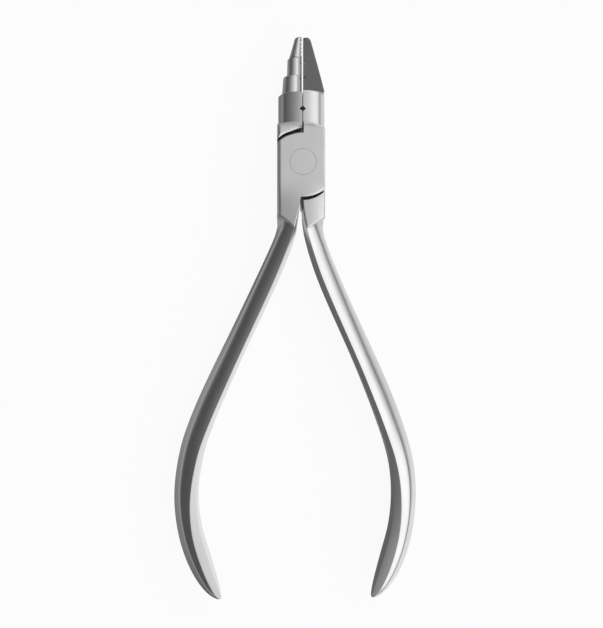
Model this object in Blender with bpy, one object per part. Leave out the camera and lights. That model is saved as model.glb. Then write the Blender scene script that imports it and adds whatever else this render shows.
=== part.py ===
"""Lap-joint orthodontic pliers: a stepped round beak working against a wedge beak.

Metres, +Z up. The pliers lie on their back. The pivot axis is the world Z axis, +Y runs to the beak tips,
and the back faces of the joint lie in the plane z = 0.

Both halves are built in one local frame, with the handle on +X, the beak on -X and the leaf of the lap joint
in the lower layer. The half with the stepped beak is that frame. The half with the wedge beak is turned half
a turn about the Y direction through the middle of the joint, which puts its leaf on top.
"""

import math

import bmesh
import bpy
from mathutils import Matrix, Vector

MM = 0.001

# Joint block
JOINT_THICKNESS = 10.4 * MM
LAP_GAP = 0.2 * MM
BLOCK_RIGHT = 5.12 * MM
BLOCK_LEFT = 6.08 * MM
BLOCK_EDGE_RADIUS = 0.8 * MM
BLOCK_TOP_Y = 9.55 * MM
BLOCK_END_CHAMFER = 0.5 * MM
BLOCK_FACE_SETBACK = 0.03 * MM

# Leaves and shoulders of the lap joint, as (angle from the seam, radius about the pivot) points. The leaf's
# lower edge is an arc, and every shoulder clears its leaf at all angles of the joint.
LEAF_TOP = ((0.0, 6.98 * MM), (23.0, 7.07 * MM), (46.0, 7.48 * MM), (95.0, 7.5 * MM))
LEAF_BOTTOM_RADIUS = 8.1 * MM
SHOULDER_TOP = ((0.0, 8.05 * MM), (21.0, 7.72 * MM), (43.0, 8.0 * MM), (90.0, 8.0 * MM))
SHOULDER_BOTTOM_GAPS = ((0.0, 0.7 * MM), (11.0, 0.65 * MM), (23.0, 0.48 * MM), (35.0, 0.3 * MM), (90.0, 0.3 * MM))
SHOULDER_BOTTOM = tuple((angle, LEAF_BOTTOM_RADIUS + gap) for angle, gap in SHOULDER_BOTTOM_GAPS)

# Pivot screw
PIVOT_HEAD_RADIUS = 3.05 * MM
PIVOT_HEAD_HEIGHT = 1.1 * MM
PIVOT_JOURNAL_RADIUS = 2.2 * MM
PIVOT_CONE_HEIGHT = 0.9 * MM
PIVOT_END_RADIUS = 2.6 * MM
PIVOT_END_HEIGHT = 0.5 * MM
PIVOT_CLEARANCE = 0.08 * MM
PIVOT_END_LAND = 0.1 * MM

# Beak bases: one crowned form split by the seam
BASE_HALF_WIDTH = 5.7 * MM
BASE_HALF_DEPTH = 4.5 * MM
BASE_CROWN_WIDTH = 6.4 * MM
BASE_KNEE = 4.5 * MM
BASE_RIDGE_ROUNDING = 0.5 * MM
BASE_CENTRE = -0.27 * MM
BASE_ROOT = 5.5 * MM
BASE_END = 17.1 * MM
STEP_BASE_END = 16.7 * MM
BASE_END_ROUNDING = 0.5 * MM
SEAM_RIGHT = 0.0 * MM
SEAM_LEFT = -0.2 * MM
WIRE_HOLE_Y = 12.57 * MM
WIRE_HOLE_HALF_DIAGONAL = 0.65 * MM

# Stepped beak: each step is round and flush with the others on its working side
STEP_INSIDE = 0.2 * MM
STEP_ROUNDING = 0.55 * MM
STEPS = (
    # foot y, head y, width at the foot, width at the head
    (STEP_BASE_END, 21.3 * MM, 4.7 * MM, 4.4 * MM),
    (21.3 * MM, 25.7 * MM, 3.75 * MM, 3.4 * MM),
    (25.7 * MM, 30.9 * MM, 3.0 * MM, 1.75 * MM),
)
STEP_FLAT = 0.1 * MM
STEP_SIDES = 32
SERRATION_FIRST_Y = 26.7 * MM
SERRATION_PITCH = 0.95 * MM
SERRATION_COUNT = 4
SERRATION_DEPTH = 0.22 * MM

# Wedge beak
WEDGE_INSIDE = 0.15 * MM
WEDGE_FOOT_WIDTH = 4.95 * MM
WEDGE_TIP_WIDTH = 1.55 * MM
WEDGE_BULGE = 0.06 * MM
WEDGE_FOOT_HALF_DEPTH = 1.1 * MM
WEDGE_TIP_HALF_DEPTH = 0.45 * MM
WEDGE_FACE_TILT = math.radians(20)
WEDGE_TIP_Y = 30.6 * MM
WEDGE_TIP_ROUNDING = 0.9 * MM
WEDGE_TIP_FLAT = 0.5
WEDGE_EDGE = 0.15 * MM
WEDGE_SINK = 0.15 * MM
WEDGE_ROOT = 2.0 * MM
WEDGE_ROOT_SIZE = 0.7
WEDGE_STATIONS = 6
WEDGE_TIP_STATIONS = 5
GROOVE_Y = (21.3 * MM, 25.1 * MM)
GROOVE_HALF_DIAGONAL = 0.42 * MM

# Handles. Distances run down from the pivot, offsets outwards to the front edge of the inner face.
HANDLE_END = 103.8 * MM
HANDLE_ROOT = 9.6 * MM
HANDLE_TIP_LENGTH = 12.5 * MM
HANDLE_TIP_BIAS = 0.08
RIGHT_HANDLE_EDGE = (
    (8.5 * MM, -0.1 * MM),
    (11.2 * MM, 0.08 * MM),
    (13.15 * MM, 0.4 * MM),
    (16.3 * MM, 1.05 * MM),
    (27.5 * MM, 4.72 * MM),
    (50.0 * MM, 14.44 * MM),
    (65.0 * MM, 20.2 * MM),
    (72.5 * MM, 22.27 * MM),
    (80.0 * MM, 22.96 * MM),
    (87.5 * MM, 22.37 * MM),
    (95.0 * MM, 20.41 * MM),
    (HANDLE_END, 17.5 * MM),
)
LEFT_HANDLE_EDGE = (
    (8.5 * MM, 0.6 * MM),
    (11.2 * MM, 0.95 * MM),
    (13.15 * MM, 1.42 * MM),
    (16.3 * MM, 2.3 * MM),
    (27.5 * MM, 6.7 * MM),
    (50.0 * MM, 17.05 * MM),
    (65.0 * MM, 23.42 * MM),
    (72.5 * MM, 25.43 * MM),
    (80.0 * MM, 26.27 * MM),
    (87.5 * MM, 25.6 * MM),
    (95.0 * MM, 23.4 * MM),
    (HANDLE_END, 20.4 * MM),
)
HANDLE_WIDTH = (
    (8.5 * MM, 4.8 * MM),
    (13.0 * MM, 4.55 * MM),
    (16.3 * MM, 4.1 * MM),
    (27.5 * MM, 4.4 * MM),
    (43.0 * MM, 4.65 * MM),
    (58.0 * MM, 5.02 * MM),
    (72.5 * MM, 4.75 * MM),
    (87.5 * MM, 4.2 * MM),
    (HANDLE_END, 3.9 * MM),
)
HANDLE_DEPTH = (
    (8.5 * MM, 8.2 * MM),
    (27.5 * MM, 8.6 * MM),
    (50.0 * MM, 9.1 * MM),
    (75.0 * MM, JOINT_THICKNESS),
    (HANDLE_END, JOINT_THICKNESS),
)
HANDLE_RELIEF = (
    (8.5 * MM, 0.08 * MM),
    (12.0 * MM, 0.4 * MM),
    (15.0 * MM, 0.75 * MM),
    (20.0 * MM, 0.85 * MM),
    (45.0 * MM, 0.68 * MM),
    (70.0 * MM, 0.8 * MM),
    (90.0 * MM, 1.05 * MM),
    (HANDLE_END, 1.2 * MM),
)
HANDLE_EDGE_HEIGHT = 1.4 * MM
HANDLE_FLANK = 1.6 * MM
HANDLE_SLOPE = math.radians(27)
HANDLE_KNEE = 0.7 * MM
HANDLE_APEX = 0.35 * MM
HANDLE_BOW = 0.06
HANDLE_STATIONS = 44
HANDLE_CROWDING = (0.8, 0.9)

# Plan of the joint's flat faces. The top edge falls away towards the side. The lower end, above the handle,
# is a curve through (distance out, distance down) points.
BLOCK_TOP_SIDE = 6.0 * MM
STEP_HALF_FALL = 0.73 * MM
WEDGE_HALF_FALL = 2.1 * MM
STEP_HALF_FOOT = ((0.0, 15.5 * MM), (1.5 * MM, 15.3 * MM), (3.2 * MM, 14.1 * MM), (5.3 * MM, 13.0 * MM))
WEDGE_HALF_FOOT = ((0.0, 16.3 * MM), (1.5 * MM, 16.0 * MM), (3.4 * MM, 14.2 * MM), (6.3 * MM, 12.1 * MM))

# The stop between the handles' roots, part of the rear leaf
STOP_REACH = 0.4 * MM
STOP_ROOT = 0.8 * MM
STOP_END = 11.0 * MM

# Finishes, as (shade, roughness)
FORGING_FINISH = (0.62, 0.22)
SCREW_FINISH = (0.66, 0.2)

# Fineness of the curved surfaces, and lengths of tools that run past the metal
CIRCLE_SIDES = 64
ARC_STEP = math.radians(5)
ARC_SIDES = 24
CORNER_STEPS = 4
CROWN_STEPS = 9
CURVE_STEPS = 12
SLOPE_SIDES = 4
SMOOTH_ANGLE = math.radians(28)
HEADING_STEP = 0.2 * MM
TIP_GAP = 0.02 * MM
REACH = 12.0 * MM
FOOT_REACH = 20.0 * MM
MIDDLE = JOINT_THICKNESS / 2


def clear_scene():
    for item in list(bpy.data.objects):
        bpy.data.objects.remove(item, do_unlink=True)


def steel(name, finish):
    """A plain stainless steel of one (shade, roughness) finish."""
    shade, roughness = finish
    material = bpy.data.materials.new(name)
    material.use_nodes = True
    shader = material.node_tree.nodes["Principled BSDF"]
    shader.inputs["Base Color"].default_value = (shade, shade, shade, 1.0)
    shader.inputs["Metallic"].default_value = 1.0
    shader.inputs["Roughness"].default_value = roughness
    return material


def smooth_value(nodes, at):
    """The value at one place of a smooth curve through (place, value) nodes."""
    places = [node[0] for node in nodes]
    values = [node[1] for node in nodes]
    last = len(nodes) - 1
    index = 0
    while index < last - 1 and at > places[index + 1]:
        index += 1

    def slope(i):
        low, high = max(i - 1, 0), min(i + 1, last)
        return (values[high] - values[low]) / (places[high] - places[low])

    span = places[index + 1] - places[index]
    t = (at - places[index]) / span
    return (
        (2 * t**3 - 3 * t**2 + 1) * values[index]
        + (t**3 - 2 * t**2 + t) * span * slope(index)
        + (3 * t**2 - 2 * t**3) * values[index + 1]
        + (t**3 - t**2) * span * slope(index + 1)
    )


def arc(radius, start, end):
    """Points of an arc about the pivot, from one angle to another, no further apart than ARC_STEP."""
    count = max(2, math.ceil(abs(end - start) / ARC_STEP))
    angles = [start + (end - start) * i / count for i in range(count + 1)]
    return [(radius * math.cos(a), radius * math.sin(a)) for a in angles]


def polar_arc(nodes, start, end, sides):
    """Points about the pivot whose radius follows (angle, radius) nodes, the angle measured from the seam."""
    points = []
    for i in range(sides + 1):
        angle = start + (end - start) * i / sides
        radius = smooth_value(nodes, abs(90 - abs(angle)))
        points.append((radius * math.cos(math.radians(angle)), radius * math.sin(math.radians(angle))))
    return points


def corner(before, at, after, radius):
    """Points that round a corner of an outline, cut back by radius along both sides."""
    before, at, after = Vector(before), Vector(at), Vector(after)
    start = at + (before - at).normalized() * radius
    end = at + (after - at).normalized() * radius
    points = []
    for i in range(CORNER_STEPS + 1):
        t = i / CORNER_STEPS
        points.append(tuple(start * (1 - t) ** 2 + at * 2 * t * (1 - t) + end * t**2))
    return points


def object_from(name, bm):
    bmesh.ops.recalc_face_normals(bm, faces=bm.faces)
    mesh = bpy.data.meshes.new(name)
    bm.to_mesh(mesh)
    bm.free()
    item = bpy.data.objects.new(name, mesh)
    bpy.context.scene.collection.objects.link(item)
    return item


def loft(name, rings):
    """A closed solid through rings that all have the same number of points."""
    bm = bmesh.new()
    loops = [[bm.verts.new(point) for point in ring] for ring in rings]
    for lower, upper in zip(loops, loops[1:]):
        for i in range(len(lower)):
            j = (i + 1) % len(lower)
            bm.faces.new((lower[i], lower[j], upper[j], upper[i]))
    bm.faces.new(reversed(loops[0]))
    bm.faces.new(loops[-1])
    return object_from(name, bm)


def prism(name, outline, bottom, top):
    """A closed solid from a plan outline, between two heights."""
    bm = bmesh.new()
    face = bm.faces.new([bm.verts.new((x, y, bottom)) for x, y in outline])
    walls = bmesh.ops.extrude_face_region(bm, geom=[face])["geom"]
    moved = [item for item in walls if isinstance(item, bmesh.types.BMVert)]
    bmesh.ops.translate(bm, verts=moved, vec=(0, 0, top - bottom))
    return object_from(name, bm)


def turned(name, profile):
    """A solid turned about the pivot axis from (radius, height) pairs that run upwards."""
    rings = []
    for radius, height in profile:
        angles = [math.tau * i / CIRCLE_SIDES for i in range(CIRCLE_SIDES)]
        rings.append([(radius * math.cos(a), radius * math.sin(a), height) for a in angles])
    return loft(name, rings)


def combine(target, other, operation):
    """Applies a Boolean to the target, and removes the other object."""
    modifier = target.modifiers.new(operation, "BOOLEAN")
    modifier.operation = operation
    modifier.object = other
    modifier.solver = "EXACT"
    bpy.context.view_layer.update()
    graph = bpy.context.evaluated_depsgraph_get()
    result = bpy.data.meshes.new_from_object(target.evaluated_get(graph))
    target.modifiers.clear()
    target.data = result
    bpy.data.objects.remove(other, do_unlink=True)


def pivot_profile(clearance):
    """The screw's (radius, height) pairs. A hole adds the clearance and runs past both faces."""
    over = REACH if clearance else 0.0
    head_foot = JOINT_THICKNESS - PIVOT_HEAD_HEIGHT - clearance
    cone_foot = head_foot - PIVOT_CONE_HEIGHT
    end_top = PIVOT_END_HEIGHT + clearance
    return [
        (PIVOT_END_RADIUS + clearance, -over),
        (PIVOT_END_RADIUS + clearance, PIVOT_END_LAND),
        (PIVOT_JOURNAL_RADIUS + clearance, end_top),
        (PIVOT_JOURNAL_RADIUS + clearance, cone_foot),
        (PIVOT_HEAD_RADIUS + clearance, head_foot),
        (PIVOT_HEAD_RADIUS + clearance, JOINT_THICKNESS + over),
    ]


def block_section(left, right):
    """The joint block's rounded rectangle across the pliers, as (x, z) points."""
    r = BLOCK_EDGE_RADIUS
    points = []
    for x, z, start in (
        (right - r, r, -90),
        (right - r, JOINT_THICKNESS - r, 0),
        (-left + r, JOINT_THICKNESS - r, 90),
        (-left + r, r, 180),
    ):
        for i in range(CORNER_STEPS + 2):
            angle = math.radians(start + 90 * i / (CORNER_STEPS + 1))
            points.append((x + r * math.cos(angle), z + r * math.sin(angle)))
    return points


def block_plan(fall, foot, inset):
    """The outline of the joint's flat faces: a bowed top edge, and a slanted foot above the handle."""
    points = []
    for i in range(CURVE_STEPS + 1):
        x = REACH * (1 - 2 * i / CURVE_STEPS)
        side = min(1.0, abs(x) / BLOCK_TOP_SIDE)
        points.append((x, BLOCK_TOP_Y - inset - fall * side**2))
    start, end = foot[0][0], foot[-1][0]
    points.append((-REACH, inset - foot[0][1]))
    for i in range(CURVE_STEPS + 1):
        out = start + (end - start) * i / CURVE_STEPS
        points.append((out, inset - smooth_value(foot, out)))
    points.append((REACH, inset - foot[-1][1]))
    return points


def joint_block(left, right, plan, edge, face):
    """The joint's full block, cut back to this half's share in plan."""
    section = block_section(left, right)
    block = loft("block", [[(x, y, z) for x, z in section] for y in (-FOOT_REACH, REACH)])
    levels = (
        (-MM, BLOCK_END_CHAMFER + MM),
        (BLOCK_END_CHAMFER, 0.0),
        (JOINT_THICKNESS - BLOCK_END_CHAMFER, 0.0),
        (JOINT_THICKNESS + MM, BLOCK_END_CHAMFER + MM),
    )
    fall, foot = plan
    rings = [[(x, y, z) for x, y in block_plan(fall, foot, inset)] for z, inset in levels]
    combine(block, loft("plan", rings), "INTERSECT")

    wall = face + BLOCK_FACE_SETBACK
    start = math.degrees(math.asin(wall / LEAF_TOP[0][1]))
    above = polar_arc(LEAF_TOP, 0.0, 90 + start, ARC_SIDES)
    above += [(-wall, REACH), (REACH, REACH), (REACH, 0.0)]
    combine(block, prism("above", above, -MM, JOINT_THICKNESS + MM), "DIFFERENCE")

    length = FOOT_REACH - LEAF_BOTTOM_RADIUS
    downs = [LEAF_BOTTOM_RADIUS + length * i / CURVE_STEPS for i in range(CURVE_STEPS + 1)]
    inner_line = [(smooth_value(edge, max(d, edge[0][0])), -d) for d in reversed(downs)]
    start = math.asin(inner_line[-1][0] / LEAF_BOTTOM_RADIUS)
    below = arc(LEAF_BOTTOM_RADIUS, -math.pi / 2 + start, -math.pi)
    below += [(-REACH, 0.0), (-REACH, inner_line[0][1])] + inner_line[:-1]
    combine(block, prism("below", below, -MM, JOINT_THICKNESS + MM), "DIFFERENCE")
    return block


def handle_section(width, depth, relief):
    """Half a handle's section from the middle of its inner face to its outer ridge, as (out, height)."""
    half = depth / 2
    knee_out = relief + width - HANDLE_FLANK
    knee_height = half - (width - HANDLE_FLANK) * math.tan(HANDLE_SLOPE)
    ridge = (relief + width, 0.0)
    knee = (knee_out, knee_height)
    points = [(0.0, 0.0)]
    for i in range(4):
        angle = math.pi / 2 * i / 3
        out = relief * (1 - math.cos(angle))
        points.append((out, half - HANDLE_EDGE_HEIGHT * (1 - math.sin(angle))))
    slope = [points[-1], knee]
    bow = (width - HANDLE_FLANK) * HANDLE_BOW
    for i in range(1, SLOPE_SIDES):
        t = i / SLOPE_SIDES
        out = slope[0][0] + (slope[1][0] - slope[0][0]) * t
        height = slope[0][1] + (slope[1][1] - slope[0][1]) * t
        points.append((out, height + bow * 4 * t * (1 - t)))
    points += corner(points[-1], knee, ridge, HANDLE_KNEE)
    lower_side = (knee[0], -knee[1])
    points += corner(knee, ridge, lower_side, HANDLE_APEX * 2)[:3]
    return points


def handle_ring(edge, down):
    """One ring of the handle, square to its inner edge at this distance down."""
    to_end = HANDLE_END - down
    taper = math.sqrt(max(0.0, 1 - (1 - min(1.0, to_end / HANDLE_TIP_LENGTH)) ** 2))
    above, below = down - HEADING_STEP, min(down + HEADING_STEP, HANDLE_END)
    heading = math.atan2(smooth_value(edge, below) - smooth_value(edge, above), below - above)
    outward = Vector((math.cos(heading), math.sin(heading), 0.0))
    width = smooth_value(HANDLE_WIDTH, down)
    depth = min(smooth_value(HANDLE_DEPTH, down), JOINT_THICKNESS)
    relief = smooth_value(HANDLE_RELIEF, down)
    start = Vector((smooth_value(edge, down), -down, MIDDLE)) - outward * relief
    bias = (1 - taper) * width * HANDLE_TIP_BIAS
    half = handle_section(width, depth, relief)
    full = half + [(out, -height) for out, height in reversed(half[1:-1])]
    return [start + outward * (out * taper + bias) + Vector((0, 0, height * taper)) for out, height in full]


def handle(edge):
    """The lofted handle, from inside the joint block to its leaf-shaped tip."""
    length = HANDLE_END - HANDLE_ROOT - TIP_GAP
    places = []
    for i in range(HANDLE_STATIONS):
        t = i / (HANDLE_STATIONS - 1)
        crowded = math.sin(math.pi / 2 * t ** HANDLE_CROWDING[0]) ** HANDLE_CROWDING[1]
        places.append(HANDLE_ROOT + length * crowded)
    return loft("handle", [handle_ring(edge, place) for place in places])


def crown_section(face, centre, inset):
    """The beak base's section on -X, as (x, z): a flat working face, a crown, a knee and a drafted flank."""
    scale = 1 - inset / BASE_HALF_DEPTH
    half = []
    for i in range(CROWN_STEPS + 1):
        across = face + centre + (BASE_KNEE - face - centre) * i / CROWN_STEPS
        rise = math.sqrt(1 - (across / BASE_CROWN_WIDTH) ** 2)
        half.append((across, BASE_HALF_DEPTH * rise))
    ridge = (BASE_HALF_WIDTH, 0.0)
    knee = half.pop()
    below = (knee[0], -knee[1])
    half += corner(half[-1], knee, ridge, BASE_RIDGE_ROUNDING)
    half += corner(knee, ridge, below, BASE_RIDGE_ROUNDING * 2)[:3]
    full = half + [(across, -height) for across, height in reversed(half[:-1])]
    points = []
    for across, height in full:
        x = centre - (face + centre) - (across - face - centre) * scale
        points.append((x, MIDDLE + height * scale))
    return points


def beak_base(face, centre, end):
    """The crowned foot of a beak, rounded over at its upper end."""
    stations = [(BASE_ROOT, 0.0), (end - BASE_END_ROUNDING, 0.0)]
    for i in range(1, CORNER_STEPS):
        angle = math.pi / 2 * i / (CORNER_STEPS - 1)
        rise = BASE_END_ROUNDING * math.sin(angle)
        stations.append((end - BASE_END_ROUNDING + rise, BASE_END_ROUNDING * (1 - math.cos(angle))))
    rings = []
    for y, inset in stations:
        ring = crown_section(face, centre, inset)
        rings.append([(x, y, z) for x, z in ring])
    return loft("base", rings)


def round_ring(width, y):
    """A round section of the stepped beak that touches its working side."""
    radius = width / 2
    centre = -STEP_INSIDE - radius
    angles = [math.tau * i / STEP_SIDES for i in range(STEP_SIDES)]
    return [(centre + radius * math.cos(a), y, MIDDLE + radius * math.sin(a)) for a in angles]


def stepped_beak():
    """Three round steps with rounded shoulders, the last one tapering to the tip."""
    rings = []
    for foot, head, foot_width, head_width in STEPS:
        first = foot if rings else BASE_ROOT
        rounding = STEP_ROUNDING if head < STEPS[-1][1] else head_width / 2 - STEP_FLAT
        rings.append(round_ring(foot_width, first))
        if not rings[1:]:
            rings.append(round_ring(foot_width, foot))
        for i in range(CORNER_STEPS + 1):
            angle = math.pi / 2 * i / CORNER_STEPS
            cut = 2 * (rounding - STEP_FLAT) * (1 - math.cos(angle))
            rings.append(round_ring(head_width - cut, head - rounding * (1 - math.sin(angle))))
    return loft("steps", rings)


def wedge_ring(y, size=1.0):
    """A four-sided section of the wedge beak, narrow at its working edge, with its edges broken."""
    t = max(0.0, (y - BASE_END) / (WEDGE_TIP_Y - BASE_END))
    width = WEDGE_FOOT_WIDTH + (WEDGE_TIP_WIDTH - WEDGE_FOOT_WIDTH) * t + WEDGE_BULGE * 4 * t * (1 - t)
    deep = WEDGE_FOOT_HALF_DEPTH + (WEDGE_TIP_HALF_DEPTH - WEDGE_FOOT_HALF_DEPTH) * t
    left = WEDGE_TIP_Y - y
    taper = 1.0
    if left < WEDGE_TIP_ROUNDING:
        rounding = math.sqrt(max(0.0, 1 - (1 - left / WEDGE_TIP_ROUNDING) ** 2))
        taper = WEDGE_TIP_FLAT + (1 - WEDGE_TIP_FLAT) * rounding
    width *= taper * size
    deep *= size
    near = -WEDGE_INSIDE
    far = near - width
    back = deep + width * math.tan(WEDGE_FACE_TILT)
    e = WEDGE_EDGE
    corners = (
        (near, deep - e),
        (near - e, deep),
        (far + e, back),
        (far, back - e),
        (far, -back + e),
        (far + e, -back),
        (near - e, -deep),
        (near, -deep + e),
    )
    return [(x, y, MIDDLE + z) for x, z in corners]


def wedge_beak():
    """The wedge: both faces run together towards its narrow working edge and towards the rounded tip."""
    straight = WEDGE_TIP_Y - WEDGE_TIP_ROUNDING - BASE_END
    rings = [wedge_ring(BASE_END - sink, WEDGE_ROOT_SIZE) for sink in (WEDGE_ROOT, 3 * WEDGE_SINK)]
    rings.append(wedge_ring(BASE_END - WEDGE_SINK))
    places = [BASE_END + straight * i / WEDGE_STATIONS for i in range(WEDGE_STATIONS + 1)]
    for i in range(1, WEDGE_TIP_STATIONS + 1):
        angle = math.pi / 2 * i / WEDGE_TIP_STATIONS
        places.append(WEDGE_TIP_Y - WEDGE_TIP_ROUNDING * (1 - math.sin(angle)))
    return loft("wedge", rings + [wedge_ring(y) for y in places])


def notch(x, y, half_diagonal):
    """A square bar through the pliers, standing on its edge."""
    outline = [
        (x - half_diagonal, y),
        (x, y - half_diagonal),
        (x + half_diagonal, y),
        (x, y + half_diagonal),
    ]
    return prism("notch", outline, -MM, JOINT_THICKNESS + MM)


def opposite_leaf():
    """The space of the other half's leaf, in the upper layer of the local frame."""
    upper = polar_arc(SHOULDER_TOP, 0, 180, 2 * ARC_SIDES)
    lower = polar_arc(SHOULDER_BOTTOM, -180, 0, 2 * ARC_SIDES)
    return prism("leaf_space", upper + lower, MIDDLE - LAP_GAP / 2, JOINT_THICKNESS + MM)


def finish_half(name, item, turn_over):
    """Bores the pivot hole, places the half and shades it."""
    if turn_over:
        place = Matrix.Translation((0, 0, JOINT_THICKNESS)) @ Matrix.Rotation(math.pi, 4, "Y")
        item.data.transform(place)
    combine(item, turned("bore", pivot_profile(PIVOT_CLEARANCE)), "DIFFERENCE")
    item.name = name
    item.data.name = name
    item.data.materials.clear()
    item.data.materials.append(steel(name, FORGING_FINISH))
    shade(item)


def shade(item):
    item.data.shade_smooth()
    item.data.set_sharp_from_angle(angle=SMOOTH_ANGLE)


def closing_stop():
    """The tongue of the rear leaf that lies between the handles' roots."""
    top = STOP_ROOT - LEAF_BOTTOM_RADIUS
    outline = [(-STOP_REACH, -STOP_END), (STOP_ROOT, -STOP_END), (STOP_ROOT, top), (-STOP_REACH, top)]
    return prism("stop", outline, BLOCK_EDGE_RADIUS, MIDDLE - LAP_GAP)


def step_beak_half():
    """Stepped beak, rear leaf and right handle: one forging."""
    half = joint_block(
        BLOCK_LEFT, BLOCK_RIGHT, (STEP_HALF_FALL, STEP_HALF_FOOT), RIGHT_HANDLE_EDGE, -SEAM_LEFT
    )
    combine(half, beak_base(-SEAM_LEFT, BASE_CENTRE, STEP_BASE_END), "UNION")
    combine(half, stepped_beak(), "UNION")
    combine(half, handle(RIGHT_HANDLE_EDGE), "UNION")
    combine(half, closing_stop(), "UNION")
    combine(half, opposite_leaf(), "DIFFERENCE")
    combine(half, notch(SEAM_LEFT, WIRE_HOLE_Y, WIRE_HOLE_HALF_DIAGONAL), "DIFFERENCE")
    for i in range(SERRATION_COUNT):
        y = SERRATION_FIRST_Y + i * SERRATION_PITCH
        combine(half, notch(-STEP_INSIDE, y, SERRATION_DEPTH), "DIFFERENCE")
    finish_half("step_beak_half", half, turn_over=False)


def wedge_beak_half():
    """Wedge beak, front leaf and left handle: one forging."""
    half = joint_block(
        BLOCK_RIGHT, BLOCK_LEFT, (WEDGE_HALF_FALL, WEDGE_HALF_FOOT), LEFT_HANDLE_EDGE, SEAM_RIGHT
    )
    combine(half, beak_base(SEAM_RIGHT, -BASE_CENTRE, BASE_END), "UNION")
    combine(half, wedge_beak(), "UNION")
    combine(half, handle(LEFT_HANDLE_EDGE), "UNION")
    combine(half, opposite_leaf(), "DIFFERENCE")
    combine(half, notch(SEAM_RIGHT, WIRE_HOLE_Y, WIRE_HOLE_HALF_DIAGONAL), "DIFFERENCE")
    for y in GROOVE_Y:
        combine(half, notch(-WEDGE_INSIDE, y, GROOVE_HALF_DIAGONAL), "DIFFERENCE")
    finish_half("wedge_beak_half", half, turn_over=True)


def pivot_screw():
    """The countersunk pivot, flush with both faces of the joint."""
    screw = turned("pivot_screw", pivot_profile(0.0))
    screw.data.materials.append(steel("pivot_screw", SCREW_FINISH))
    shade(screw)


clear_scene()
step_beak_half()
wedge_beak_half()
pivot_screw()
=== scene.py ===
"""Lap-joint orthodontic pliers on a pale studio floor.

The pliers lie on their back. The pivot axis is the world Z axis, +Y runs to the beak tips, and the back
faces of the joint lie in the plane z = 0. Each half is one forging. It is modelled with its handle on +X, its
beak on -X and its leaf of the lap joint in the lower layer, and the half with the wedge beak is then turned
over.
"""

import logging
import math
from collections.abc import Callable
from dataclasses import dataclass, field, replace
from enum import Enum

import bmesh
import bpy
from mathutils import Matrix, Vector


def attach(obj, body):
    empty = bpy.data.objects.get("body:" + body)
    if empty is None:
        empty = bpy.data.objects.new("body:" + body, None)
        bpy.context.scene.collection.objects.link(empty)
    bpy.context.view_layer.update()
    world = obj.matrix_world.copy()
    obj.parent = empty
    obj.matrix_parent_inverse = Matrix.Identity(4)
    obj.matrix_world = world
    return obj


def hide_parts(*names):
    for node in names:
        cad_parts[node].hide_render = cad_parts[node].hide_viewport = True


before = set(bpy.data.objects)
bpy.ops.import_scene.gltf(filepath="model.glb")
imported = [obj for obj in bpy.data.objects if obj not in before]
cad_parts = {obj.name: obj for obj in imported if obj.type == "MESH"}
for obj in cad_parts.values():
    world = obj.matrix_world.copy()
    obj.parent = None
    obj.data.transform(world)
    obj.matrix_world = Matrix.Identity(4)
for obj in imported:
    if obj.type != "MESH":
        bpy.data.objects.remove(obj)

LOG = logging.getLogger("pliers")
MM = 0.001

# how near two places count as one, how near points are welded, and the sharpest edge that is shaded smooth
NEAR = 0.01 * MM
WELD = 0.0005 * MM
SMOOTH_ANGLE = math.radians(24)

Point2 = tuple[float, float]
Point3 = tuple[float, float, float]
Nodes = tuple[Point2, ...]


class Operation(Enum):
    """How one solid acts on another."""

    JOIN = "UNION"
    CUT = "DIFFERENCE"
    COMMON = "INTERSECT"


class Ease(Enum):
    """How a value runs between two limits."""

    EVEN = "LINEAR"
    SOFT = "SMOOTHSTEP"


class Pairing(Enum):
    """How one value is worked out from a pair."""

    PRODUCT = "MULTIPLY"
    LARGER = "MAXIMUM"
    ANGLE = "ARCTAN2"


class Grain(Enum):
    """The way a finish's fine marks run."""

    NONE = "none"
    ALONG = "along"
    CROSSED = "crossed"


# what a finish's noise spans, the sizes of the clouds in its shade and roughness, how far the roughness
# varies, and how much of the shade its blue has
NOISE_SPAN = (0.3, 0.7)
CLOUD_SIZE: Point3 = (4 * MM, 6 * MM, 4 * MM)
WEAR_SIZE: Point3 = (1.5 * MM, 5 * MM, 1.5 * MM)
WEAR_SPREAD = 0.12
BLUE_SHARE = 0.995

# where the joint's face starts to fall away, where the fall is full, and half the width that the crown spans
FALL_DOWN = (-3 * MM, -11.5 * MM)
FALL_UP = (7.9 * MM, 9.3 * MM)
CROWN_SIDE = 6 * MM

# the crown across the joint's face near its ends: places from side to side, and heights in millimetres
CROWN: Nodes = (
    (0.0, 0.027), (0.083, 0.187), (0.167, 0.336), (0.25, 0.473), (0.333, 0.595), (0.417, 0.6975),
    (0.5, 0.7755), (0.583, 0.8105), (0.667, 0.8055), (0.75, 0.7455), (0.833, 0.6), (0.917, 0.38), (1.0, 0.1),
)


def scaled(
    tree: bpy.types.NodeTree, value: bpy.types.NodeSocket, start: float, end: float, ease: Ease
) -> bpy.types.NodeSocket:
    """Maps a value between two limits to 0 to 1.

    Args:
        tree: the nodes that the new one joins.
        value: the socket that gives the value.
        start: what becomes 0.
        end: what becomes 1.
        ease: how the value runs from 0 to 1.

    Returns:
        The socket with the result.
    """
    spread = tree.nodes.new("ShaderNodeMapRange")
    spread.interpolation_type = ease.value
    spread.inputs["From Min"].default_value = start
    spread.inputs["From Max"].default_value = end
    tree.links.new(value, spread.inputs["Value"])
    return spread.outputs["Result"]


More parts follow.
